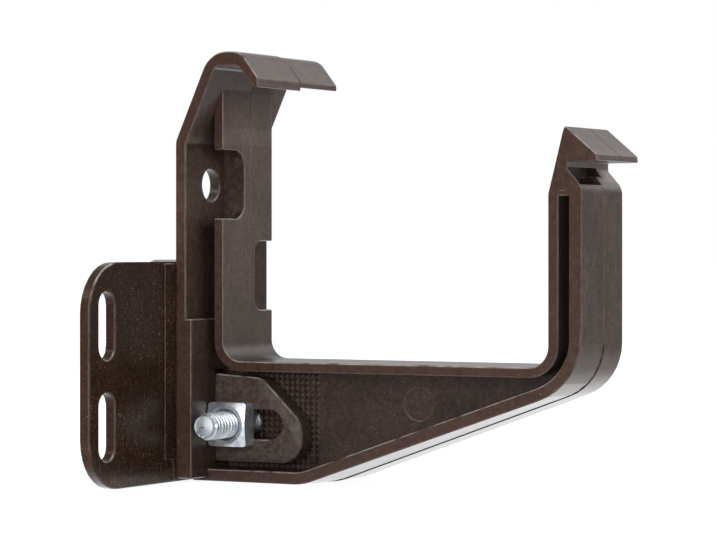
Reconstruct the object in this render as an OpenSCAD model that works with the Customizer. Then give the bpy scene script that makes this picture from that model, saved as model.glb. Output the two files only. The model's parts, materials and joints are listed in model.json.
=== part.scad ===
// Adjustable bracket for a small box gutter.
// X points away from the wall, Y along the gutter and Z up.
// The origin is midway between the two slots, on the face that lies against the wall.

/* [Gutter seat] */
// Clear width of the seat between its rear and front walls
seat_w = 65.2; // [63:0.1:69]
// Height of the seat's floor above the underside of the cradle
seat_z = 22; // [21.5:0.1:24]
// Radius of the seat's rear corner
seat_rear_r = 3.5; // [2:0.1:5]
// Radius of the seat's front corner
seat_front_r = 3.7; // [2:0.1:5]
// Thickness of the seat's rear and front walls
seat_t = 2; // [1.6:0.1:2.2]
// Thickness of the seat's floor
floor_t = 1.85; // [1.6:0.05:2.2]
// Width of the seat along the gutter
seat_len = 17.6; // [15:0.2:20]

/* [Cradle] */
// Thickness of the web in the middle of the cradle
web_t = 2.3; // [1.8:0.1:3]
// Thickness of the outer flanges
flange_t = 2.2; // [1.8:0.1:2.4]
// Width of the brace flange and the front clip
brace_w = 17.6; // [15:0.2:20]
// Angle of the brace flange below the seat
brace_angle = 19.1; // [17:0.1:20]
// Distance from the wall side to the bend where the brace flange starts to rise
brace_x = 23.2; // [20:0.1:26]
// Gap between the seat's front wall and the brace flange
front_gap = 1.9; // [1.2:0.1:2]
// Width of the back flange
back_w = 29; // [24:0.2:34]
// Height at which the back flange widens from the brace's width to its own
wing_z = 0.7; // [0.5:0.1:2]
// Thickness of the back flange where the square nut lies against it
back_pad_t = 3.4; // [3:0.1:3.5]
// Height of that thicker part above the underside of the cradle
pad_z = 29.7; // [28:0.1:30.5]

/* [Rear hook] */
// Height at which the back flange starts to lean forward
lean_z = 62; // [60:0.5:64]
// Angle of the lean from upright
lean_angle = 24.4; // [20:0.2:26]
// Height of the top of the hook
hook_z = 78; // [76:0.5:80]
// Reach of the hook's tip from the wall side
hook_reach = 17.4; // [16:0.2:19]

/* [Front clip] */
// Height at which the seat's front wall starts to lean outward
clip_lean_z = 51.9; // [50:0.1:53]
// Height of the clip's ridge
clip_z = 63.7; // [62:0.1:65]
// Reach of the clip's lip beyond the seat's front wall
clip_reach = 9.3; // [8:0.1:10]
// Height of the lip's underside
lip_z = 57.5; // [57:0.1:58.5]

/* [Wall plate] */
// Height of the plate
plate_h = 40; // [38:0.5:44]
// Thickness of the plate
plate_t = 2.1; // [1.6:0.1:3]
// Distance from the line of the slots to the plate's outer edge
plate_edge = 5.6; // [5:0.1:8]
// Radius of the plate's outer corners
plate_corner_r = 9; // [4:0.5:10]
// Distance from the line of the slots to the middle of the cradle's web
web_y = 36.75; // [34:0.25:42]
// Width of a slot in the plate
slot_w = 5; // [4.5:0.1:5.5]
// Length of a slot in the plate
slot_len = 12; // [10:0.5:13]
// Distance between the centres of the two slots
slot_spacing = 17.8; // [16:0.1:20]

/* [Clamp] */
// Distance from the wall side of the cradle to the clamp screw
screw_x = 7.6; // [7.6:0.1:8]
// Height of the clamp screw above the underside of the cradle
screw_z = 10.45; // [10:0.05:11]
// Diameter of the clamp screw
screw_d = 5; // [4.8:0.1:5]
// Length of the screw below its head
screw_len = 20; // [18:0.5:22]
// Width across the flats of the square nut
nut_w = 8; // [7.7:0.1:8]
// Thickness of the square nut
nut_t = 3.6; // [3:0.1:4.5]
// Distance from the middle of the web to the near face of the lug
lug_face = 6; // [5.5:0.1:6.5]
// Length of the lug from the plate to its rounded end
lug_reach = 21.4; // [20:0.1:22]
// Height of the level slot in the lug
lug_slot_h = 5.5; // [5.4:0.1:6]
// Width of the bevel round the lug's near face
lug_bevel = 1.9; // [1:0.1:2.2]
// Travel of the cradle away from the wall
travel = 7.2; // [6:0.1:7.3]
// Spacing of the clamping teeth
tooth_pitch = 1.1; // [0.8:0.1:1.6]
// Height of the clamping teeth
tooth_h = 0.45; // [0.3:0.05:0.6]

/* [Hidden] */
$fn = 64;

brown = [0.22, 0.15, 0.13];
zinc = [0.78, 0.8, 0.84];

eps = 0.01;
sunk = 0.5;                 // how far joined stretches reach into each other
clear = 0.05;               // play between the clamped faces once the screw is loose
arc_steps = 8;

cradle_z = -plate_h / 2 - 0.1;           // underside of the cradle
leg_x = 2 * flange_t + 0.3 + seat_t;     // gutter side of the seat's rear wall
front_x = leg_x + seat_w;                // gutter side of the seat's front wall
gap_x = front_x + seat_t + front_gap;    // inner face of the brace's upright end
face_x = gap_x + flange_t + 0.2;         // outer face of the brace's upright end
strip_top = clip_lean_z - 0.3;           // where the two front walls run into the clip
half_web = web_t / 2;
tooth_tip = half_web + tooth_h;
tooth_field = [back_pad_t, 22.6, 2.6, 20.6];   // x from, x to, z from, z to
hole_d = 6;                 // screw holes in the back flange
hole_places = [[-1, 54.2], [1, 37.5]];   // side of the web, height
hole_y = 5.7;
screw_tip = 17.2;           // how far the screw's tip is from the middle of the web
boss_h = screw_len - screw_tip - half_web;
parting_y = 0.8;            // where the two halves of the mould met
mark_h = 0.12;
ejector_places = [[43, -half_web, 14.7, 6], [74.7, -brace_w / 2, 54.2, 3.4]];   // x, y, z, diameter
wing_r = 0.5;
guide_h = 0.3;              // raised strip on the plate that the back flange's near edge sits beside
guide_y = [18.4, 21.1];     // its near edge: above and at the foot
guide_foot_z = -15.8;
lug_bevel_h = 0.5;
nut_cone_angle = 20;
ridge_y = 16.6;             // where the plate's top starts to slope down to the gutter side
ridge_ramp = 2;
ridge_h = 0.45;
sink_h = 0.45;              // depth of the nut's countersink
boss_d = 11;                // boss under the screw's head

// Unit vector from a towards b.
function toward(a, b) = (b - a) / norm(b - a);

// The points of an arc that rounds the corner at p, between the corners a and b.
function corner(a, p, b, r) =
    r <= 0 ? [p] :
    let (
        u = toward(p, a),
        v = toward(p, b),
        half = acos(u * v) / 2,
        c = p + toward([0, 0], u + v) * r / sin(half),
        s = p + u * r / tan(half) - c,
        turn = sign(v.x * u.y - v.y * u.x) * (180 - 2 * half),
        from = atan2(s.y, s.x)
    )
    [for (i = [0:arc_steps]) c + r * [cos(from + turn * i / arc_steps), sin(from + turn * i / arc_steps)]];

// An outline from corners given as [x, z, radius].
function outline(k) = let (n = len(k)) [
    for (i = [0:n - 1])
        let (a = k[(i + n - 1) % n], p = k[i], b = k[(i + 1) % n])
        each corner([a.x, a.y], [p.x, p.y], [b.x, b.y], p.z)
];

// Extrudes a profile drawn in X and Z from one place along Y to another.
module along(from, to) {
    translate([0, to, 0]) rotate([90, 0, 0]) linear_extrude(to - from) children();
}

// A rectangle in X and Z, extruded along Y.
module bar(x, y, z) {
    translate([x[0], y[0], z[0]]) cube([x[1] - x[0], y[1] - y[0], z[1] - z[0]]);
}

// The U of the seat: the gutter side, then back along the hidden side.
module seat_profile() {
    top = lean_z + (leg_x - flange_t) / tan(lean_angle);
    back = leg_x - seat_t;
    floor_z = seat_z - floor_t;
    polygon(outline([
        [leg_x, top + 0.5, 0],
        [leg_x, seat_z, seat_rear_r],
        [front_x, seat_z, seat_front_r],
        [front_x, strip_top, 0],
        [front_x + seat_t, strip_top, 0],
        [front_x + seat_t, floor_z, seat_front_r + 2],
        [back, floor_z, seat_rear_r + 2],
        [back, top - 4, 0]
    ]));
}

// Underside, rising brace and upright front, as one bent strip.
module brace_profile(bend_x, angle, knee_r) {
    rise = tan(angle);
    knee_z = (face_x - bend_x) * rise;
    inner_x = bend_x - flange_t * tan(angle / 2);
    inner_knee_z = flange_t + (gap_x - inner_x) * rise;
    polygon(outline([
        [0, 0, 0],
        [bend_x, 0, 12],
        [face_x, knee_z, knee_r],
        [face_x, strip_top, 0],
        [gap_x, strip_top, 0],
        [gap_x, inner_knee_z, 9],
        [inner_x, flange_t, 9],
        [0, flange_t, 0]
    ]));
}

// The barb that the gutter's front edge snaps over.
module clip_profile() {
    neck_x = front_x + 3.6;
    tip_x = front_x + clip_reach;
    clip_root = strip_top - 0.1;
    polygon(outline([
        [front_x, clip_root, 0],
        [front_x, clip_lean_z, 2],
        [front_x + 3.1, clip_z, 0.35],
        [tip_x - 0.15, lip_z + 1.1, 0.4],
        [tip_x, lip_z, 0.3],
        [neck_x, lip_z, 0.3],
        [neck_x, lip_z - 1.4, 0.9],
        [face_x, lip_z - 4.4, 3.2],
        [face_x, clip_root, 0]
    ]));
}

// Upright back, lean and hook, as one bent strip. Its far half is a little slimmer, by slim.
module back_profile(slim) {
    lean = tan(lean_angle);
    inner_z = lean_z - 0.4 + 2 * slim;
    under_z = hook_z - 2.6;
    top_z = hook_z - slim / 4;
    tip_z = hook_z - 6.6 + slim;
    polygon(outline([
        [0, 0, 0],
        [0, lean_z, 3],
        [(top_z - lean_z) * lean, top_z, 5.2],
        [hook_reach - 3.8, top_z, 3.4],
        [hook_reach, hook_z - 5, 0.8],
        [hook_reach, tip_z, 0.2],
        [hook_reach - 1.2, tip_z + 0.1, 0.2],
        [hook_reach - 1.2, tip_z + 0.55, 0.6],
        [hook_reach - 4.2, under_z, 1.5],
        [flange_t + (under_z - inner_z) * lean, under_z, 1.2],
        [flange_t, inner_z, 2],
        [flange_t, 0, 0]
    ]));
}

// The web fills everything between the flanges outside the seat.
module web_profile() {
    lean = tan(lean_angle);
    mid = flange_t / 2;
    seat_mid = seat_t / 2;
    top = lean_z + 8.5;
    polygon(outline([
        [mid, mid, 0],
        [brace_x, mid, 12],
        [face_x - mid, (face_x - brace_x) * tan(brace_angle), 11],
        [face_x - mid, clip_lean_z, 0],
        [front_x + seat_mid, clip_lean_z, 0],
        [front_x + seat_mid, seat_z - seat_mid, seat_front_r + 1],
        [leg_x - seat_mid, seat_z - seat_mid, seat_rear_r + 1],
        [leg_x - seat_mid, top, 0],
        [mid + (top - lean_z) * lean, top, 0],
        [mid, lean_z, 0]
    ]));
}

// Two crossed sets of ridges leave a field of four-sided points.
module teeth() {
    x0 = tooth_field[0] - sunk;
    z0 = tooth_field[2] - sunk;
    across = ceil((tooth_field[1] - x0) / tooth_pitch);
    up = ceil((tooth_field[3] - z0) / tooth_pitch);
    xs = tooth_field[1] - across * tooth_pitch;
    deep = half_web - sunk;
    half = tooth_pitch / 2;
    intersection() {
        translate([xs, 0, z0]) linear_extrude(up * tooth_pitch) polygon(concat(
            [[0, -deep]],
            [for (i = [0:across - 1]) each [
                [i * tooth_pitch, -half_web], [i * tooth_pitch + half, -tooth_tip]
            ]],
            [[across * tooth_pitch, -half_web], [across * tooth_pitch, -deep]]
        ));
        translate([xs, 0, z0]) rotate([90, 0, 90]) linear_extrude(across * tooth_pitch) polygon(concat(
            [[-deep, 0]],
            [for (i = [0:up - 1]) each [
                [-half_web, i * tooth_pitch], [-tooth_tip, i * tooth_pitch + half]
            ]],
            [[-half_web, up * tooth_pitch], [-deep, up * tooth_pitch]]
        ));
    }
}

// The back flange seen from the gutter, in Y and Z: as wide as the brace at its foot.
module back_outline() {
    half = back_w / 2;
    foot = brace_w / 2;
    polygon(outline([
        [-foot, 0, 0], [foot, 0, 0],
        [foot, wing_z, 0], [half, wing_z, wing_r],
        [half, hook_z + 1, 0], [-half, hook_z + 1, 0],
        [-half, wing_z, wing_r], [-foot, wing_z, 0]
    ]));
}

module back_flange() {
    half = back_w / 2;
    intersection() {
        union() {
            along(-half, parting_y) back_profile(0);
            along(parting_y - eps, half) back_profile(0.6);
        }
        rotate([90, 0, 90]) linear_extrude(hook_reach + 1) back_outline();
    }
}

// The thick lower part of the back flange, which keeps the nut from turning.
module nut_pad() {
    intersection() {
        bar([sunk, back_pad_t], [-back_w / 2, -half_web + eps], [0, pad_z]);
        rotate([90, 0, 90]) linear_extrude(back_pad_t) back_outline();
    }
}

// Round-cornered gap in the seat's rear wall, on one side of the web.
module wall_gap(side, from_z, to_z, inner_y, r) {
    out = seat_len;
    rotate([90, 0, 90]) translate([0, 0, leg_x - seat_t - 0.2]) linear_extrude(seat_t + 0.4)
        polygon(outline([
            [side * inner_y, from_z, r], [side * out, from_z, 0],
            [side * out, to_z, 0], [side * inner_y, to_z, r]
        ]));
}

// Shallow round marks that the mould's ejector pins left on the near side.
module ejector_marks() {
    for (m = ejector_places)
        translate([m[0], m[1] + mark_h, m[2]]) rotate([90, 0, 0]) cylinder(d = m[3], h = 1);
}

module cradle_body() {
    half_seat = seat_len / 2;
    half_brace = brace_w / 2;
    difference() {
        union() {
            along(-half_web, half_web) web_profile();
            along(-half_seat, half_seat) seat_profile();
            along(-half_brace, parting_y) brace_profile(brace_x, brace_angle, 12);
            along(parting_y - eps, half_brace) brace_profile(brace_x + 2.2, brace_angle + 0.7, 10);
            along(-half_brace, half_brace) clip_profile();
            back_flange();
            nut_pad();
            teeth();
            translate([0, half_web - eps, 0]) at_screw() mirror([0, 0, 1])
                cylinder(d = boss_d, h = boss_h + eps);
        }
        wall_gap(-1, 48, 60.5, half_web, 3.2);
        wall_gap(1, 31.1, 43.9, 2.5, 2.3);
        for (p = hole_places)
            translate([-1, p[0] * hole_y, p[1]]) rotate([0, 90, 0]) cylinder(d = hole_d, h = flange_t + 2);
        at_screw() cylinder(d = screw_d + 0.5, h = 20, center = true);
        lug_window();
        ejector_marks();
    }
}

// Window in the back flange that the lug passes through.
module lug_window() {
    bar([-1, back_pad_t + eps], [-lug_face - 0.3, -half_web], [3.2, 20.4]);
}

// The outline of the lug in X and Z, drawn in from its edge by inset.
function lug_outline(inset) = let (r = 4.5 - inset, root = -plate_t) outline([
    [root, 3.4 + inset, 0],
    [lug_reach - inset, 3.4 + inset, r],
    [lug_reach - inset, 10.8 - inset / 2, r],
    [12.9 - inset / 4, 18.95 - inset, 3],
    [root, 19.9 - inset, 0]
]);

// The lug stands on the plate and carries the level slot. Its near edges are bevelled.
module lug() {
    edge_y = -lug_face + lug_bevel_h;
    difference() {
        union() {
            along(edge_y - eps, -tooth_tip - clear) polygon(lug_outline(0));
            hull() {
                along(edge_y - eps, edge_y) polygon(lug_outline(0));
                along(-lug_face, edge_y) polygon(lug_outline(lug_bevel));
            }
        }
        at_screw() cylinder(d = lug_slot_h, h = 20, center = true);
        translate([travel, 0, 0]) at_screw() cylinder(d = lug_slot_h, h = 20, center = true);
        bar([screw_x, screw_x + travel], [-10, 10], [screw_z - lug_slot_h / 2, screw_z + lug_slot_h / 2]);
    }
}

module plate() {
    half = plate_h / 2;
    lug_y = web_y - tooth_tip - clear;
    difference() {
        union() {
            rotate([90, 0, 90]) linear_extrude(plate_t) polygon(outline([
                [-plate_edge, -half, plate_corner_r], [lug_y, -half, 0],
                [lug_y, half, 0], [-plate_edge, half, plate_corner_r]
            ]));
            intersection() {
                along(ridge_y, lug_y) polygon([[0, half - eps], [plate_t, half - eps], [0, half + ridge_h]]);
                rotate([90, 0, 90]) linear_extrude(plate_t) polygon([
                    [ridge_y, half - 1], [lug_y, half - 1], [lug_y, half + ridge_h],
                    [ridge_y + ridge_ramp, half + ridge_h], [ridge_y, half - eps]
                ]);
            }
        }
        for (side = [-1, 1]) translate([-1, 0, side * slot_spacing / 2]) plate_slot();
    }
    guide_strip();
}

// Low strip on the plate that locates the near edge of the back flange, narrower at its foot.
module guide_strip() {
    x = [plate_t - eps, plate_t + guide_h];
    far_y = web_y - back_w / 2 - 2 * clear;
    top_z = plate_h / 2 - guide_h;
    bar(x, [guide_y[0], far_y], [guide_foot_z, top_z]);
    bar(x, [guide_y[1], far_y], [-top_z, guide_foot_z + eps]);
}

module plate_slot() {
    r = slot_w / 2;
    straight = slot_len - slot_w;
    bar([0, plate_t + 2], [-r, r], [-straight / 2, straight / 2]);
    for (z = [-1, 1]) translate([0, 0, z * straight / 2]) rotate([0, 90, 0])
        cylinder(r = r, h = plate_t + 2);
}

// Places what is drawn from the cradle's wall side, web middle and underside.
module at_cradle() {
    translate([plate_t, web_y, cradle_z]) children();
}

// Turns what is drawn along Z onto the clamp screw's axis, pointing to the near side.
module at_screw() {
    translate([screw_x, 0, screw_z]) rotate([90, 0, 0]) children();
}

module fixing_plate() {
    color(brown) {
        plate();
        at_cradle() lug();
    }
}

module cradle() {
    color(brown) at_cradle() cradle_body();
}

module clamp_screw() {
    color(zinc) at_cradle() translate([0, half_web + boss_h, 0]) at_screw() {
        cylinder(d = screw_d, h = screw_len - 0.8);
        cylinder(d = 4, h = screw_len);
        mirror([0, 0, 1]) pan_head();
    }
}

// Pan head with a crossed recess.
module pan_head() {
    difference() {
        rotate_extrude() polygon(outline([[0, 0, 0], [4.75, 0, 0], [4.75, 3.7, 2.2], [0, 3.7, 0]]));
        for (a = [0, 90]) rotate([0, 0, a]) translate([-2.3, -0.55, 1.6]) cube([4.6, 1.1, 3]);
    }
}

// Square nut with a cone turned on its near face and a countersunk bore.
module square_nut() {
    half_diagonal = nut_w / sqrt(2);
    face_r = 0.45 * nut_w;
    cone_h = (half_diagonal - face_r) * tan(nut_cone_angle);
    color(zinc) at_cradle() translate([0, -lug_face - clear, 0]) at_screw() difference() {
        intersection() {
            linear_extrude(nut_t) polygon(outline([for (a = [45:90:315])
                [half_diagonal * cos(a), half_diagonal * sin(a), 0.6]]));
            rotate_extrude() polygon([
                [0, 0], [half_diagonal, 0], [half_diagonal, nut_t - cone_h], [face_r, nut_t], [0, nut_t]
            ]);
        }
        translate([0, 0, -1]) cylinder(d = screw_d, h = nut_t + 2);
        translate([0, 0, nut_t - sink_h])
            cylinder(r1 = screw_d / 2, r2 = screw_d / 2 + 2 * sink_h, h = 2 * sink_h);
    }
}

fixing_plate();
cradle();
clamp_screw();
square_nut();
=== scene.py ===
import json
import math

import bmesh
import bpy
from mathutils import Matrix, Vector

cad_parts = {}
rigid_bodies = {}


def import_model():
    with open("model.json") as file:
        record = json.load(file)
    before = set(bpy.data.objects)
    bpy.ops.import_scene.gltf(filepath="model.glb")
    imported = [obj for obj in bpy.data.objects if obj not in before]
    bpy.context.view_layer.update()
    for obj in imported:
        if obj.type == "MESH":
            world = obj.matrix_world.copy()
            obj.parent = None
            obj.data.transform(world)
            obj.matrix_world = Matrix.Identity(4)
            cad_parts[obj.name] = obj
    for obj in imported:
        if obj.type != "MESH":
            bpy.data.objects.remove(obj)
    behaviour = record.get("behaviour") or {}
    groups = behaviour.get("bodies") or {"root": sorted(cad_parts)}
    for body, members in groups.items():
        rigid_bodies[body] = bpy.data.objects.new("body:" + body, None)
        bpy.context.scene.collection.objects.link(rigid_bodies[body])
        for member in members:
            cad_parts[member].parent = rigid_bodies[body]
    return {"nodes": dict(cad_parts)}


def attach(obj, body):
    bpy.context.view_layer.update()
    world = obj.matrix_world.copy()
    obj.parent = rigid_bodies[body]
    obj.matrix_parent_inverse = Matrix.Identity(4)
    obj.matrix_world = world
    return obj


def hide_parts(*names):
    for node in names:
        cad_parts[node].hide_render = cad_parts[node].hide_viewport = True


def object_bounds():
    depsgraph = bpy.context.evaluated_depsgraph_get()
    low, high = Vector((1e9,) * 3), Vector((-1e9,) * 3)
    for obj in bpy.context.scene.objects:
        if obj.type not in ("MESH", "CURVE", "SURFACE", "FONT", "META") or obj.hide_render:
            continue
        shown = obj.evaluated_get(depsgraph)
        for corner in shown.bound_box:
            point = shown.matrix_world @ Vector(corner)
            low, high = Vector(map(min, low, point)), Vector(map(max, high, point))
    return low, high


for leftover in list(bpy.data.objects):
    bpy.data.objects.remove(leftover)

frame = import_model()
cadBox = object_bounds()
mm = 0.001
partingY = 37.55            # mm, where the two halves of the cradle's mould met
screwAxis = (9.7, -9.65)    # mm, x and z
tipY = 19.55                # mm, the screw's tip


class Wire:
    # One output of a node. Sums on wires add Math nodes to the tree.
    def __init__(self, tree, out):
        self.tree = tree
        self.out = out

    def maths(self, operation, *values):
        return makeNode(self.tree, "ShaderNodeMath", {"operation": operation},
                        dict(enumerate(values)))["Value"]

    def __add__(self, other):
        return self.maths("ADD", self, other)

    def __radd__(self, other):
        return self.maths("ADD", other, self)

    def __sub__(self, other):
        return self.maths("SUBTRACT", self, other)

    def __rsub__(self, other):
        return self.maths("SUBTRACT", other, self)

    def __mul__(self, other):
        return self.maths("MULTIPLY", self, other)

    def __rmul__(self, other):
        return self.maths("MULTIPLY", other, self)

    def __truediv__(self, other):
        return self.maths("DIVIDE", self, other)

    def __gt__(self, other):
        return self.maths("GREATER_THAN", self, other)

    def size(self):
        return self.maths("ABSOLUTE", self)

    def power(self, other):
        return self.maths("POWER", self, other)

    def cosine(self):
        return self.maths("COSINE", self)

    def sine(self):
        return self.maths("SINE", self)

    def least(self, other):
        return self.maths("MINIMUM", self, other)

    def most(self, other):
        return self.maths("MAXIMUM", self, other)

    def remainder(self, other):
        return self.maths("FLOORED_MODULO", self, other)

    def between(self, low, high):  # 0 below low, 1 above high, smooth from one to the other
        return makeNode(self.tree, "ShaderNodeMapRange", {"interpolation_type": "SMOOTHSTEP"},
                        {"Value": self, "From Min": low, "From Max": high})["Result"]


def makeNode(tree, kind, settings=None, values=None):
    # Makes a node, then sets its settings, then the values or links of its sockets.
    # Returns its outputs as wires, by name.
    node = tree.nodes.new(kind)
    for name, value in (settings or {}).items():
        setattr(node, name, value)
    for key, value in (values or {}).items():
        if isinstance(value, Wire):
            tree.links.new(value.out, node.inputs[key])
        else:
            node.inputs[key].default_value = value
    return {out.name: Wire(tree, out) for out in node.outputs if out.enabled}


def mixColour(tree, share, low, high):
    # low where share is 0, high where it is 1. Each is a wire or a colour.
    low, high = [shade if isinstance(shade, Wire) else (*shade, 1) for shade in (low, high)]
    return makeNode(tree, "ShaderNodeMix", {"data_type": "RGBA"}, {0: share, 6: low, 7: high})["Result"]


def newMaterial(name, shader):
    # shader is the set of constants on the Principled BSDF's own sockets.
    material = bpy.data.materials.new(name)
    material.use_nodes = True
    tree = material.node_tree
    principled = tree.nodes["Principled BSDF"]
    for key, value in shader.items():
        principled.inputs[key].default_value = value
    return material, tree, principled


plasticLook = {
    "brown": (0.047, 0.0235, 0.0160),
    "deepBrown": (0.016, 0.0085, 0.0062),
    "rimBrown": (0.054, 0.0225, 0.0150),    # the cut rims of flanges and walls are redder
    "dust": (0.30, 0.245, 0.218),
    "rub": (0.130, 0.088, 0.070),   # scuffs and worn edges
    "pale": (0.62, 0.56, 0.52),     # painted highlight on the upward rounded edges, where they would catch the light
    "gloss": 0.33,
    "roughness": 0.22,
    "grain": 0.07,          # how much dust shows as powder, speckles, smudges and streaks
    "speckle": 0.40,
    "smudge": 0.045,
    "paleShare": 0.02,
    "webY": 36.75,          # mm, the middle of the cradle
    "rimFrom": 7.5,         # mm from there to where the rims begin
    "outerPale": 0.06,      # paler on the faces that look away from the wall
    "paleFrom": 7.0,        # mm from the wall
    # Dustier places, as boxes: low corner and high corner in mm, and the share of dust. On the plate, the box
    # along the foot of its front is a painted reflection of the floor instead. The boxes in lighterOut are
    # paler, and only on the faces that look away from the wall.
    "lighter": (((4.9, 34.0, -18.2), (24.9, 35.7, 1.0), 0.035),
                ((2.0, 22.0, -20.0), (8.3, 36.5, 34.0), 0.035)),
    "lighterOut": (((8.4, 22.0, 4.0), (9.6, 52.0, 44.0), 0.085),
                   ((3.0, 22.0, 42.0), (24.0, 52.0, 58.0), 0.07),
                   ((76.4, 27.0, 34.0), (79.0, 47.0, 37.6), 0.34),
                   ((79.0, 27.0, 35.5), (84.0, 47.0, 39.0), 0.08)),
    "paintedShade": (((75.0, 28.6, 33.0), (76.2, 40.4, 36.2)),    # painted shade in the hollow under the clip's lip: its walls, and the edge where its two levels meet
               ((75.0, 28.6, 33.2), (79.6, 40.4, 33.5)),
               ((75.0, 37.5, 34.7), (79.6, 40.4, 35.0))),
    "clip": (31, 20),       # mm, z and x above which the parting line runs over the clip
    "hookFrom": 45,         # mm, z above which it runs over the hook
    "disc": (45.1, -5.4, 3.0),      # x, z and radius of the ejector's mark on the web
    "offset": (0, 0, 0),    # mm, so that the two mouldings don't have the same pattern
}
platePlasticLook = plasticLook | {
    "brown": (0.0300, 0.0130, 0.0062),
    "deepBrown": (0.014, 0.0075, 0.0045),
    "rimBrown": (0.050, 0.0215, 0.0130),
    "gloss": 0.18,
    "roughness": 0.15,
    "grain": 0.035,
    "speckle": 0.62,
    "smudge": 0.02,
    "paleShare": 0.0,
    "outerPale": 0.0,
    "lighter": (((2.0, 23.5, -22.0), (30.0, 36.0, 5.0), 0.18),
                # painted reflection of the floor along the foot of the plate's front
                ((1.0, -6.0, -20.5), (2.6, 22.0, -18.6), 0.10)),
    "lighterOut": (),
    "paintedShade": (),
    "offset": (31, 17, 5),
}


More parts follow.
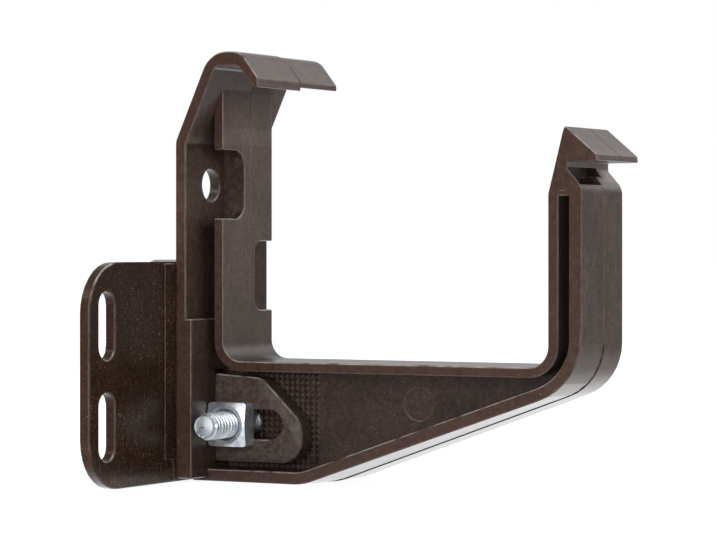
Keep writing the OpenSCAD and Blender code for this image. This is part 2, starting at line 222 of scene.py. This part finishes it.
def plasticMaterial(name, look):
    shader = {"Specular IOR Level": look["gloss"], "Coat Roughness": 0.08}
    material, tree, principled = newMaterial(name, shader)
    make = lambda kind, settings=None, values=None: makeNode(tree, kind, settings, values)
    spot = make("ShaderNodeTexCoord")["Object"]
    place = make("ShaderNodeMapping", None,
                 {"Vector": spot, "Location": look["offset"], "Scale": (1000, 1000, 1000)})["Vector"]
    facing = make("ShaderNodeNewGeometry")["Normal"]
    nx, ny, nz = make("ShaderNodeSeparateXYZ", None, {0: facing}).values()
    px, py, pz = [wire * 1000 for wire in make("ShaderNodeSeparateXYZ", None, {0: spot}).values()]

    def noise(scale, detail, roughness, stretch=(1, 1, 1), turn=(0, 0, 0)):
        turned = make("ShaderNodeMapping", None, {"Vector": place, "Rotation": turn, "Scale": stretch})
        return make("ShaderNodeTexNoise", None, {"Vector": turned["Vector"], "Scale": scale,
                                                 "Detail": detail, "Roughness": roughness})["Fac"]

    def specks(scale, low, high, few):
        # Pale dots of dust: one in each cell, of its own size, and none in the cells below few.
        cells = make("ShaderNodeTexVoronoi", {"feature": "F1"},
                     {"Vector": place, "Scale": scale, "Randomness": 1})
        luck = make("ShaderNodeTexWhiteNoise", {"noise_dimensions": "3D"}, {"Vector": cells["Position"]})
        return (1 - cells["Distance"].between(low, high)) * luck["Value"].between(few, 1)

    def inside(low, high, border=0.4):
        # 1 in the box, fading to 0 over the border.
        share = 1
        for wire, start, end in zip((px, py, pz), low, high):
            share = share * wire.between(start - border, start) * (1 - wire.between(end, end + border))
        return share

    cloud = noise(0.13, 4, 0.6)
    patch = noise(0.35, 3, 0.6)
    mottle = noise(0.9, 5, 0.75)
    grain = noise(2.2, 5, 0.9)
    dusty = cloud.between(0.38, 0.62) * patch.between(0.3, 0.6) * 0.8 + 0.2
    fineSpecks = specks(3.0, 0.08, 0.36, 0.20) * dusty
    bigSpecks = specks(1.5, 0.08, 0.25, 0.50) * dusty
    fromWeb = (py - look["webY"]).size()
    rim = ny.size().between(0.6, 0.9) * fromWeb.between(look["rimFrom"], look["rimFrom"] + 0.4)
    outer = nx.between(0.3, 0.9) * px.between(look["paleFrom"], look["paleFrom"] + 1)
    discX, discZ, discRadius = look["disc"]
    fromPin = ((px - discX).power(2) + (pz - discZ).power(2)).power(0.5)
    toNear = 1 - ny.between(-0.9, -0.5)
    disc = fromPin.between(discRadius + 0.05, discRadius - 0.1) * toNear
    ring = (1 - (fromPin - discRadius).size().between(0.08, 0.22)) * toNear

    # Long faint rubs: upright, along the length, and slanting.
    rubs = noise(0.9, 2, 0.5, (6.0, 6.0, 0.30), (0, 0.06, 0)).between(0.64, 0.72)
    rubs = rubs + noise(0.9, 2, 0.5, (0.35, 6.0, 7.0), (0, -0.33, 0)).between(0.66, 0.73)
    rubs = rubs + noise(1.1, 2, 0.5, (5.0, 5.0, 0.4), (0, 0.8, 0.3)).between(0.68, 0.74)
    streaks = noise(0.22, 4, 0.7, (1.0, 1.0, 0.5)).between(0.42, 0.70)
    # The rounded edges: real wear, and on the upward ones a painted highlight.
    wornAndGlinting = make("ShaderNodeAttribute", {"attribute_name": "wornAndGlinting"})["Fac"] * patch.between(0.3, 0.6)

    # The parting line, on the faces that cross it and fainter on the undersides.
    seam = 1 - (py - partingY).size().between(0.05, 0.16)
    seam = seam * (1 - ny.size().between(0.2, 0.4)) * (nz.between(-0.3, 0.1) * 0.85 + 0.15)

    colour = mixColour(tree, cloud.between(0.35, 0.65) * 0.4 + mottle.between(0.4, 0.6) * 0.6,
                       look["deepBrown"], look["brown"])
    colour = mixColour(tree, rim * (mottle.between(0.35, 0.6) * 0.6 + 0.4), colour, look["rimBrown"])
    powder = grain.between(0.5, 0.72) * look["grain"] + streaks * look["paleShare"]
    powder = powder + outer * (streaks * 0.5 + mottle * 0.5 + 0.5) * look["outerPale"]
    colour = mixColour(tree, powder, colour, look["dust"])
    # Paler boxes; on the plate one of them is a painted reflection of the floor along its foot.
    for low, high, share in look["lighter"]:
        paleShare = inside(low, high, 1.5) * (mottle.between(0.3, 0.7) * 1.1 + 0.4)
        colour = mixColour(tree, paleShare * share, colour, look["dust"])
    for low, high, share in look["lighterOut"]:
        paleShare = inside(low, high, 0.8) * nx.between(0.2, 0.6)
        colour = mixColour(tree, paleShare * (mottle * 0.8 + 0.6) * share, colour, look["dust"])
    # Painted shade in the hollow under the clip's lip.
    for low, high in look["paintedShade"]:
        colour = mixColour(tree, inside(low, high) * 0.8, colour, look["deepBrown"])
    smudge = noise(0.55, 6, 0.8).between(0.50, 0.66)
    colour = mixColour(tree, smudge * look["smudge"], colour, look["dust"])
    colour = mixColour(tree, disc * 0.015, colour, look["dust"])
    colour = mixColour(tree, ring * 0.30, colour, look["rub"])
    speckle = (outer + 1) * look["speckle"]
    colour = mixColour(tree, fineSpecks * speckle, colour, look["dust"])
    colour = mixColour(tree, bigSpecks * speckle * 1.2, colour, look["dust"])
    colour = mixColour(tree, rubs * 0.22, colour, look["rub"])
    colour = mixColour(tree, wornAndGlinting * 0.42, colour, look["rub"])
    # Painted highlight: the upward rounded edges are mixed toward pale.
    colour = mixColour(tree, wornAndGlinting * nz.between(0.15, 0.6) * 0.45, colour, look["pale"])
    clipZ, clipX = look["clip"]
    onClip = pz.between(clipZ, clipZ + 2) * px.between(clipX, clipX + 10)
    onHook = pz.between(look["hookFrom"], look["hookFrom"] + 2)
    rubbed = nx.between(0.5, 0.8) * (1 - onClip) * (1 - onHook)     # pale on the upright faces
    colour = mixColour(tree, seam * (1 - rubbed) * 0.8, colour, look["deepBrown"])
    colour = mixColour(tree, seam * rubbed * 0.6, colour, look["rub"])
    tree.links.new(colour.out, principled.inputs["Base Color"])

    under = 1 - nz.between(-0.8, -0.4)
    rough = look["roughness"] + grain * 0.10 + cloud * 0.06 + fineSpecks * 0.2 + bigSpecks * 0.3
    rough = rough + rubs * 0.10 + outer * 0.08 + disc * 0.08 - under * 0.06 + seam * 0.5
    tree.links.new(rough.out, principled.inputs["Roughness"])
    tree.links.new(under.out, principled.inputs["Coat Weight"])     # the undersides are the most polished

    ripple = noise(0.5, 3, 0.55)
    height = ripple * 0.03 + grain * 0.012 + fineSpecks * 0.01 + bigSpecks * 0.02 - seam * 0.05
    bump = make("ShaderNodeBump", None, {"Height": height, "Distance": mm, "Strength": 0.6})["Normal"]
    tree.links.new(bump.out, principled.inputs["Normal"])
    return material


zincLook = {
    "bright": (0.80, 0.83, 0.83),
    "dull": (0.42, 0.47, 0.55),
    # painted shade for the thread's roots, and the colour of the mark on the tip
    "rootShadeAndMark": (0.10, 0.11, 0.12),
    "metal": 0.78,
    "roughness": 0.24,
    "rootTo": 2.15,         # mm from the axis, below which the thread's roots are painted with shade
    "thread": (20.3, 39.4),     # mm, its two ends
    "pinch": (-0.3, -0.15),     # mm from the axis, x and z of the mark on the tip
    "tipDepth": 0.25,       # mm behind the tip, as far as it is marked
}


def zincMaterial(name, look):
    material, tree, principled = newMaterial(name, {"Metallic": look["metal"]})
    make = lambda kind, settings=None, values=None: makeNode(tree, kind, settings, values)
    spot = make("ShaderNodeTexCoord")["Object"]
    place = make("ShaderNodeMapping", None, {"Vector": spot, "Scale": (1000, 1000, 1000)})["Vector"]
    px, py, pz = [wire * 1000 for wire in make("ShaderNodeSeparateXYZ", None, {0: spot}).values()]
    noise = lambda scale: make("ShaderNodeTexNoise", None,
                               {"Vector": place, "Scale": scale, "Detail": 4, "Roughness": 0.6})["Fac"]
    cloud = noise(0.5)
    fine = noise(6)
    axisX, axisZ = screwAxis
    fromAxis = ((px - axisX).power(2) + (pz - axisZ).power(2)).power(0.5)
    start, end = look["thread"]
    thread = py.between(start, start + 0.1) * (1 - py.between(end, end + 0.1))
    # Painted shade in the thread's roots.
    shadedRoot = thread * (1 - fromAxis.between(look["rootTo"] - 0.25, look["rootTo"]))
    pinchX, pinchZ = look["pinch"]
    pinch = 1 - (px - axisX - pinchX).size().between(0.4, 0.6)
    pinch = pinch * (1 - (pz - axisZ - pinchZ).size().between(0.1, 0.2))
    tipEnd = tipY + look["tipDepth"]
    pinch = pinch * (1 - py.between(tipEnd, tipEnd + 0.1))
    colour = mixColour(tree, cloud.between(0.35, 0.65) * 0.8 + fine.between(0.4, 0.7) * 0.2,
                       look["dull"], look["bright"])
    colour = mixColour(tree, (shadedRoot * 0.8).most(pinch * 0.7), colour, look["rootShadeAndMark"])
    tree.links.new(colour.out, principled.inputs["Base Color"])
    onTip = 1 - py.between(tipEnd + 0.1, tipEnd + 0.3)
    rough = look["roughness"] + cloud * 0.12 + fine * 0.08 + onTip * 0.2
    tree.links.new(rough.out, principled.inputs["Roughness"])
    height = fine * 0.008 + cloud * 0.02
    bump = make("ShaderNodeBump", None, {"Height": height, "Distance": mm, "Strength": 0.7})["Normal"]
    tree.links.new(bump.out, principled.inputs["Normal"])
    return material


cradlePlastic = plasticMaterial("cradlePlastic", plasticLook)
platePlastic = plasticMaterial("platePlastic", platePlasticLook)
zinc = zincMaterial("zinc", zincLook)
print("materials made")


def mergedCopy(node):
    # The CAD node's own form as one closed mesh with flat faces left whole.
    bm = bmesh.new()
    bm.from_mesh(frame["nodes"][node].data)
    bmesh.ops.remove_doubles(bm, verts=bm.verts, dist=2e-6)
    bmesh.ops.dissolve_limit(bm, angle_limit=math.radians(0.3), verts=bm.verts, edges=bm.edges)
    return bm


def sideRoom(edge, corner, rounded):
    # How far the faces beside this edge reach at one of its ends.
    line = (edge.other_vert(corner).co - corner.co).normalized()
    room = 1
    for other in corner.link_edges:
        if other is edge:
            continue
        reach = other.other_vert(corner).co - corner.co
        across = (reach - line * reach.dot(line)).length
        if across > 0.3 * reach.length:
            room = min(room, across * (0.45 if other in rounded else 0.9))
    return room


def softened(name, bm, look, keepSharp, material):
    # Rounds the outward edges, but for those that keepSharp names, by as much as their faces have room for.
    # Where the rounding makes a face cross itself, the edges nearby are rounded less, and it is tried again.
    width = look["edgeRadius"] * mm
    weight = bm.edges.layers.float.new("bevel_weight_edge")
    rounded = set()
    for edge in bm.edges:
        angle = edge.calc_face_angle(0)
        kept = keepSharp(edge)
        edge.smooth = angle < math.radians(look["sharpTeeth"] if kept else look["sharpFrom"])
        short = edge.calc_length() < look.get("shortest", 0) * mm
        if edge.is_convex and not kept and not short and angle > math.radians(look["roundFrom"]):
            rounded.add(edge)
    for edge in rounded:
        share = min(sideRoom(edge, corner, rounded) for corner in edge.verts) / width
        edge[weight] = min(1, share) if share > 0.1 else 0
    for face in bm.faces:
        face.smooth = True
    for attempt in range(look.get("tries", 1)):
        piece = rounding(name, bm, look, width, material)
        crossed = crossings(piece)
        if not crossed or attempt == look.get("tries", 1) - 1:
            break
        for edge in rounded:
            if any(fromEdge(edge, spot) < 2.5 * width for spot in crossed):
                edge[weight] = edge[weight] * 0.5 if edge[weight] > 0.13 else 0
        bpy.data.objects.remove(piece)
    bm.free()
    return piece


def nearestOn(line, spot):
    start, end = line
    along = max(0, min(1, (spot - start).dot(end - start) / (end - start).length_squared))
    return start.lerp(end, along)


def fromEdge(edge, spot):
    return (nearestOn([corner.co for corner in edge.verts], spot) - spot).length


def crossings(piece):
    # The sharpest turns of the faces that cross themselves.
    mesh = piece.data
    covered = [0] * len(mesh.polygons)
    mesh.calc_loop_triangles()
    for triangle in mesh.loop_triangles:
        covered[triangle.polygon_index] += triangle.area
    spots = []
    for polygon, area in zip(mesh.polygons, covered):
        if len(polygon.vertices) > 4 and area > polygon.area * 1.0005 + 1e-12:
            ring = [mesh.vertices[i].co for i in polygon.vertices]
            for before, here, after in zip(ring[-1:] + ring[:-1], ring, ring[1:] + ring[:1]):
                if (here - before).length and (here - before).angle(after - here, 0) > math.radians(140):
                    spots.append(here.copy())
    return spots


def rounding(name, bm, look, width, material):
    mesh = bpy.data.meshes.new(name)
    bm.to_mesh(mesh)
    mesh.materials.append(material)
    mesh.materials.append(material)
    rough = bpy.data.objects.new(name + "Rough", mesh)
    bpy.context.scene.collection.objects.link(rough)
    bevel = rough.modifiers.new("edges", "BEVEL")
    bevel.limit_method = "WEIGHT"
    bevel.width = width
    bevel.segments = look["edgeSteps"]
    bevel.use_clamp_overlap = False
    bevel.material = 1      # marks the rounded edges, for the wear that the finish shows there and, on the upward ones, a painted highlight
    flat = rough.modifiers.new("flat", "WEIGHTED_NORMAL")
    flat.mode = "FACE_AREA"
    flat.weight = 50
    flat.keep_sharp = True
    return asPlain(name, rough, material)


def asPlain(name, rough, material):
    # The finished mesh of an object with modifiers, as a plain object of its own.
    seen = rough.evaluated_get(bpy.context.evaluated_depsgraph_get())
    mesh = bpy.data.meshes.new_from_object(seen)
    mesh.name = name
    wornAndGlinting = mesh.attributes.new("wornAndGlinting", "FLOAT", "FACE")
    wornAndGlinting.data.foreach_set("value", [float(polygon.material_index == 1) for polygon in mesh.polygons])
    mesh.materials.clear()
    mesh.materials.append(material)
    for polygon in mesh.polygons:
        polygon.material_index = 0
    bpy.data.objects.remove(rough)
    piece = bpy.data.objects.new(name, mesh)
    bpy.context.scene.collection.objects.link(piece)
    return piece


def hollowed(bm, boxes):
    # Cuts boxes, given by two corners each in mm, out of a mesh.
    whole = bpy.data.meshes.new("whole")
    bm.to_mesh(whole)
    bm.free()
    tool = bmesh.new()
    for low, high in boxes:
        cube = bmesh.ops.create_cube(tool, size=1)["verts"]
        size = Vector(high) - Vector(low)
        bmesh.ops.scale(tool, vec=size * mm, verts=cube)
        bmesh.ops.translate(tool, vec=(Vector(low) + size / 2) * mm, verts=cube)
    cutter = bpy.data.meshes.new("cutter")
    tool.to_mesh(cutter)
    tool.free()
    piece = bpy.data.objects.new("whole", whole)
    blade = bpy.data.objects.new("cutter", cutter)
    for thing in (piece, blade):
        bpy.context.scene.collection.objects.link(thing)
    cut = piece.modifiers.new("cut", "BOOLEAN")
    cut.operation = "DIFFERENCE"
    cut.solver = "EXACT"
    cut.use_self = True
    cut.object = blade
    mesh = bpy.data.meshes.new_from_object(piece.evaluated_get(bpy.context.evaluated_depsgraph_get()))
    left = bmesh.new()
    left.from_mesh(mesh)
    for thing in (piece, blade):
        bpy.data.objects.remove(thing)
    bmesh.ops.remove_doubles(left, verts=left.verts, dist=2e-6)
    bmesh.ops.dissolve_limit(left, angle_limit=math.radians(0.3), verts=left.verts, edges=left.edges)
    return left


ledgeY = partingY - 0.01    # mm, the wall between the brace's halves, which reach into each other a little


def drawnDown(bm, look):
    # The lower side of the brace's near half slopes down to its far half, and ends a small step above it.
    first, last, top, parting = [size * mm for size in (*look["brace"], ledgeY)]
    middle = lambda face: face.calc_center_median()
    walls = {face for face in bm.faces if all(abs(corner.co.y - parting) < 5e-6 for corner in face.verts)
             and middle(face).x > first and middle(face).z < top}
    ledge = {edge for face in walls for edge in face.edges}
    beside = lambda edge: {face for face in edge.link_faces if face not in walls}
    farLines = [tuple(corner.co.copy() for corner in edge.verts) for edge in ledge
                if any(middle(face).y > parting for face in beside(edge))]
    near = {face for edge in ledge for face in beside(edge) if middle(face).y < parting}
    parts = list(near | {edge for face in near for edge in face.edges}
                 | {corner for face in near for corner in face.verts})
    for count in range(1, look["strips"]):
        cut = first + (last - first) * count / look["strips"]
        parts = bmesh.ops.bisect_plane(bm, geom=parts, dist=1e-6, plane_co=(cut, 0, 0),
                                       plane_no=(1, 0, 0))["geom"]
    for corner in {corner for face in walls for corner in face.verts}:
        if any(edge.other_vert(corner).co.y > parting + 1e-5 for edge in corner.link_edges):
            continue
        spots = [nearestOn(line, corner.co) for line in farLines]
        spot = min(spots, key=lambda spot: (spot - corner.co).length)
        rise = corner.co - spot
        if rise.length > look["step"] * mm:
            corner.co = spot + rise.normalized() * look["step"] * mm
    bm.normal_update()
    return bm


def standFor(piece, body, node):
    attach(piece, body)
    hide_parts(node)


cradleLook = {
    "edgeRadius": 0.25,     # mm
    "edgeSteps": 3,
    "roundFrom": 25,        # degrees between two faces, from which their edge is rounded
    "sharpFrom": 13,        # degrees, from which an edge that isn't rounded shows as a line
    "sharpTeeth": 5,        # the same for the edges that staysSharp names
    "tries": 6,             # at rounding without a face that crosses itself
    "brace": (20.0, 80.0, 40.0),    # mm, x of its two ends and z of its top
    "strips": 20,           # that its lower side is cut into, so that it can slope smoothly
    "step": 0.12,           # mm, left between its halves
    "pocket": (((75.9, 28.4, 33.4), (82.0, 37.4, 36.4)),    # mm, the hollow under the clip's lip
               ((75.9, 37.3, 34.9), (82.0, 40.3, 36.4))),
    "teeth": ((4.9, 35.0, -18.2), (24.9, 35.7, 1.0)),   # mm, the box that holds the clamping teeth
}


def staysSharp(edge):
    return onStep(edge) or inTeeth(edge)


def onStep(edge):
    first, last, top = cradleLook["brace"]
    places = [corner.co / mm for corner in edge.verts]
    return all(abs(place.y - ledgeY) < 0.02 and place.x > first and place.z < top for place in places)


def inTeeth(edge):
    low, high = cradleLook["teeth"]
    return all(low[i] < corner.co[i] / mm < high[i] for corner in edge.verts for i in range(3))


cradleForm = drawnDown(hollowed(mergedCopy("cradle"), cradleLook["pocket"]), cradleLook)
cradle = softened("cradleMoulding", cradleForm, cradleLook, staysSharp, cradlePlastic)
standFor(cradle, "cradle", "cradle")
print("cradle made")

plateLook = {"edgeRadius": 0.3, "edgeSteps": 3, "roundFrom": 25, "sharpFrom": 13, "tries": 6}    # as above
plate = softened("plateMoulding", mergedCopy("fixing_plate"), plateLook, lambda edge: False, platePlastic)
standFor(plate, "plate", "fixing_plate")
print("plate made")

nutLook = {
    "edgeRadius": 0.3,
    "edgeSteps": 3,
    "roundFrom": 60,
    "sharpFrom": 13,
    "shortest": 2.0,        # mm, edges below this length stay sharp
}
nut = softened("squareNut", mergedCopy("square_nut"), nutLook, lambda edge: False, zinc)
standFor(nut, "cradle", "square_nut")

screwLook = {
    "headY": 39.55,         # mm, underside of the head
    "length": 20.0,
    "pitch": 1.0,
    "crest": 2.48,          # radii of the thread and of the point at the tip
    "root": 1.9,
    "point": 1.98,
    "pointLength": 0.9,
    "dome": 0.28,           # how far the tip bulges
    "around": 40,           # faces round the thread, and rows for each turn
    "perTurn": 12,
}


def threadTree(look):
    # A tube whose rings climb by one pitch a turn, so that the last column meets the first, one turn up.
    # The crest's flat is a sixth of the pitch and the root's a third.
    tree = bpy.data.node_groups.new("thread", "GeometryNodeTree")
    inputs = {}
    for key in ("length", "pitch", "crest", "root", "point", "pointLength", "dome"):
        inputs[key] = tree.interface.new_socket(key, in_out="INPUT", socket_type="NodeSocketFloat").identifier
    finish = tree.interface.new_socket("finish", in_out="INPUT", socket_type="NodeSocketMaterial").identifier
    tree.interface.new_socket("Geometry", in_out="OUTPUT", socket_type="NodeSocketGeometry")
    make = lambda kind, settings=None, values=None: makeNode(tree, kind, settings, values)
    size = make("NodeGroupInput")
    turns = math.ceil(look["length"] / look["pitch"]) + 3
    rows = turns * look["perTurn"] + 1
    grid = make("GeometryNodeMeshGrid", None,
                {"Size X": 1.0, "Size Y": 1.0, "Vertices X": look["around"] + 1, "Vertices Y": rows})["Mesh"]
    at = make("ShaderNodeSeparateXYZ", None, {0: make("GeometryNodeInputPosition")["Position"]})
    turn = at["X"] + 0.5
    climb = (at["Y"] + 0.5) * turns
    raw = (climb + turn - 1.5) * size["pitch"]
    fromCrest = (climb.remainder(1.0) * 2 - 1).size()
    ridge = ((2 / 3 - fromCrest) * 2).least(1.0).most(0.0)
    radius = size["root"] + (size["crest"] - size["root"]) * ridge
    nearPoint = raw > size["length"] - size["pointLength"]
    radius = radius + (radius.least(size["point"]) - radius) * nearPoint
    past = (raw - size["length"]).most(0.0) + (0 - raw).most(0.0)
    radius = radius * (1 - past / size["pitch"]).most(0.0)
    rounding = (radius / size["point"]).power(2.0) * size["dome"]
    depth = raw.least(size["length"]).most(0.0) - rounding * (raw > size["length"] - 0.01)
    angle = turn * math.tau
    spot = make("ShaderNodeCombineXYZ", None,
                {"X": radius * angle.cosine(), "Y": 0 - depth, "Z": radius * angle.sine()})
    moved = make("GeometryNodeSetPosition", None, {"Geometry": grid, "Position": spot["Vector"]})["Geometry"]
    closed = make("GeometryNodeMergeByDistance", None, {"Geometry": moved, "Distance": 0.0005})["Geometry"]
    shaded = make("GeometryNodeSetShadeSmooth", None, {"Geometry": closed, "Shade Smooth": False})["Geometry"]
    real = make("GeometryNodeRealizeInstances", None, {"Geometry": shaded})["Geometry"]
    done = make("GeometryNodeSetMaterial", None, {"Geometry": real, "Material": size["finish"]})["Geometry"]
    make("NodeGroupOutput", None, {"Geometry": done})
    return tree, inputs, finish


def threadedShank(name, look, material):
    # The tree works in millimetres from the head's underside. The mesh is then scaled and put on the axis.
    tree, inputs, finish = threadTree(look)
    host = bpy.data.objects.new(name + "Host", bpy.data.meshes.new(name + "Host"))
    bpy.context.scene.collection.objects.link(host)
    modifier = host.modifiers.new("thread", "NODES")
    modifier.node_group = tree
    for key, identifier in inputs.items():
        modifier[identifier] = look[key]
    modifier[finish] = material
    mesh = bpy.data.meshes.new_from_object(host.evaluated_get(bpy.context.evaluated_depsgraph_get()))
    bpy.data.objects.remove(host)
    bm = bmesh.new()
    bm.from_mesh(mesh)
    bpy.data.meshes.remove(mesh)
    bmesh.ops.dissolve_degenerate(bm, dist=1e-4, edges=bm.edges)
    bmesh.ops.scale(bm, vec=(mm, mm, mm), verts=bm.verts)
    axisX, axisZ = screwAxis
    bmesh.ops.translate(bm, vec=Vector((axisX, look["headY"], axisZ)) * mm, verts=bm.verts)
    bmesh.ops.recalc_face_normals(bm, faces=bm.faces)
    return bm


def screwHead(look):
    # The head alone, cut from the CAD node just in front of its underside and closed.
    bm = mergedCopy("clamp_screw")
    cut = bmesh.ops.bisect_plane(bm, geom=bm.verts[:] + bm.edges[:] + bm.faces[:], dist=1e-7,
                                 plane_co=(0, (look["headY"] + 0.001) * mm, 0), plane_no=(0, -1, 0),
                                 clear_outer=True)
    rim = [item for item in cut["geom_cut"] if isinstance(item, bmesh.types.BMEdge)]
    bmesh.ops.contextual_create(bm, geom=rim)
    return bm


def joined(name, pieces, material):
    mesh = bpy.data.meshes.new(name)
    whole = bmesh.new()
    for piece in pieces:
        part = bpy.data.meshes.new("part")
        piece.to_mesh(part)
        piece.free()
        whole.from_mesh(part)
        bpy.data.meshes.remove(part)
    whole.to_mesh(mesh)
    whole.free()
    mesh.attributes.remove(mesh.attributes["custom_normal"])
    mesh.materials.append(material)
    mesh.set_sharp_from_angle(angle=math.radians(30))
    thing = bpy.data.objects.new(name, mesh)
    bpy.context.scene.collection.objects.link(thing)
    return thing


head = softened("screwHead", screwHead(screwLook), nutLook, lambda edge: False, zinc)
headMesh = bmesh.new()
headMesh.from_mesh(head.data)
bpy.data.objects.remove(head)
screw = joined("clampScrew", [headMesh, threadedShank("shank", screwLook, zinc)], zinc)
standFor(screw, "cradle", "clamp_screw")
print("nut and screw made")

stageLook = {
    "floorZ": -20.25,       # mm, just under the cradle
    "floorWhite": 0.9,
    "fill": 0.25,           # the world's light on the object
    "backdrop": (-0.48, 0.876, 0.05),   # where the lit backdrop stands
    "glossRoom": 0.25,      # what gloss sees: of the room, the lit backdrop, overhead, and the floor
    "glossBackdrop": 0.85,
    "glossAbove": 0.6,
    "glossFloor": 1.0,
    "cameraPlace": (285.21, -423.83, 22.5),     # mm
    "cameraTurn": 28.8,     # degrees
    "focal": 145.81,        # mm
    "shift": -0.0307,
}


def rayKinds(tree):
    # 1 for rays straight from the camera, and 1 for mirrored rays and those through glass.
    path = makeNode(tree, "ShaderNodeLightPath")
    return path["Is Camera Ray"], path["Is Glossy Ray"].most(path["Is Transmission Ray"])


def makeWorld():
    look = stageLook
    world = bpy.data.worlds.new("studio")
    bpy.context.scene.world = world
    world.use_nodes = True
    tree = world.node_tree
    seen, mirrored = rayKinds(tree)
    direction = makeNode(tree, "ShaderNodeTexCoord")["Generated"]
    toBackdrop = makeNode(tree, "ShaderNodeVectorMath", {"operation": "DOT_PRODUCT"},
                          {0: direction, 1: look["backdrop"]})["Value"].between(0.55, 0.92)
    above = makeNode(tree, "ShaderNodeSeparateXYZ", None, {0: direction})["Z"].between(0.3, 0.8)
    gloss = (toBackdrop * look["glossBackdrop"]).most(above * look["glossAbove"])
    gloss = gloss + (1 - toBackdrop.most(above)) * look["glossRoom"]
    level = seen + mirrored * gloss + (1 - seen) * (1 - mirrored) * look["fill"]
    background = tree.nodes["Background"]
    background.inputs["Color"].default_value = (1, 1, 1, 1)
    tree.links.new(level.out, background.inputs["Strength"])


def makeFloor():
    look = stageLook
    bm = bmesh.new()
    bmesh.ops.create_grid(bm, x_segments=1, y_segments=1, size=6)
    bmesh.ops.translate(bm, verts=bm.verts, vec=(0, 0, look["floorZ"] * mm))
    mesh = bpy.data.meshes.new("floor")
    bm.to_mesh(mesh)
    bm.free()
    material = bpy.data.materials.new("paleFloor")
    material.use_nodes = True
    tree = material.node_tree
    tree.nodes.clear()
    make = lambda kind, settings=None, values=None: makeNode(tree, kind, settings, values)
    seen, mirrored = rayKinds(tree)
    spot = make("ShaderNodeTexCoord")["Object"]
    far = make("ShaderNodeVectorMath", {"operation": "LENGTH"}, {0: spot})["Value"].between(0.12, 0.32)
    gloss = far * (look["glossRoom"] - look["glossFloor"]) + look["glossFloor"]
    level = seen * (far * 0.06 + 0.92) + mirrored * gloss
    glow = make("ShaderNodeEmission", None, {"Color": (1, 1, 1, 1), "Strength": level})["Emission"]
    shade = make("ShaderNodeBsdfDiffuse", None, {"Color": (0.3, 0.3, 0.3, 1)})["BSDF"]
    lit = make("ShaderNodeAddShader", None, {0: shade, 1: glow})["Shader"]
    white = look["floorWhite"]
    plain = make("ShaderNodeBsdfDiffuse", None, {"Color": (white, white, white, 1)})["BSDF"]
    own = make("ShaderNodeMixShader", None, {0: seen, 1: plain, 2: lit})["Shader"]
    whole = make("ShaderNodeMixShader", None, {0: mirrored, 1: own, 2: glow})["Shader"]
    make("ShaderNodeOutputMaterial", None, {"Surface": whole})
    mesh.materials.append(material)
    floor = bpy.data.objects.new("floor", mesh)
    bpy.context.scene.collection.objects.link(floor)


def makeSoftbox(name, place, target, size, power):
    light = bpy.data.lights.new(name, "AREA")
    light.shape = "RECTANGLE"
    light.size, light.size_y = size
    light.energy = power
    lamp = bpy.data.objects.new(name, light)
    lamp.location = Vector(place)
    lamp.rotation_euler = (Vector(place) - Vector(target)).to_track_quat("Z", "Y").to_euler()
    bpy.context.scene.collection.objects.link(lamp)


def makeCamera():
    data = bpy.data.cameras.new("camera")
    data.lens = stageLook["focal"]
    data.sensor_width = 36
    data.shift_y = stageLook["shift"]
    data.clip_start = 0.01
    data.clip_end = 100
    camera = bpy.data.objects.new("camera", data)
    camera.location = Vector(stageLook["cameraPlace"]) * mm
    camera.rotation_euler = (math.radians(90), 0, math.radians(stageLook["cameraTurn"]))
    bpy.context.scene.collection.objects.link(camera)
    bpy.context.scene.camera = camera


lamps = {                   # place from the middle of the bracket in m, size in m, watts
    "cameraSoftbox": ((0.15, -0.85, 0.10), 0.5, 5.0),
    "leftSoftbox": ((-0.45, -0.7, 0.65), 0.3, 2),
    "rightSoftbox": ((0.80, 0.15, 0.25), 0.5, 4),
    "rearSoftbox": ((0.3, 0.75, 0.45), 0.5, 1.2),
    "topSoftbox": ((-0.1, 0.05, 0.8), 0.3, 2.5),
}

middle = (cadBox[0] + cadBox[1]) / 2
makeWorld()
makeFloor()
for name, (away, size, power) in lamps.items():
    makeSoftbox(name, middle + Vector(away), middle, (size, size), power)
makeCamera()
bpy.context.scene.view_settings.view_transform = "Standard"
print("stage set")
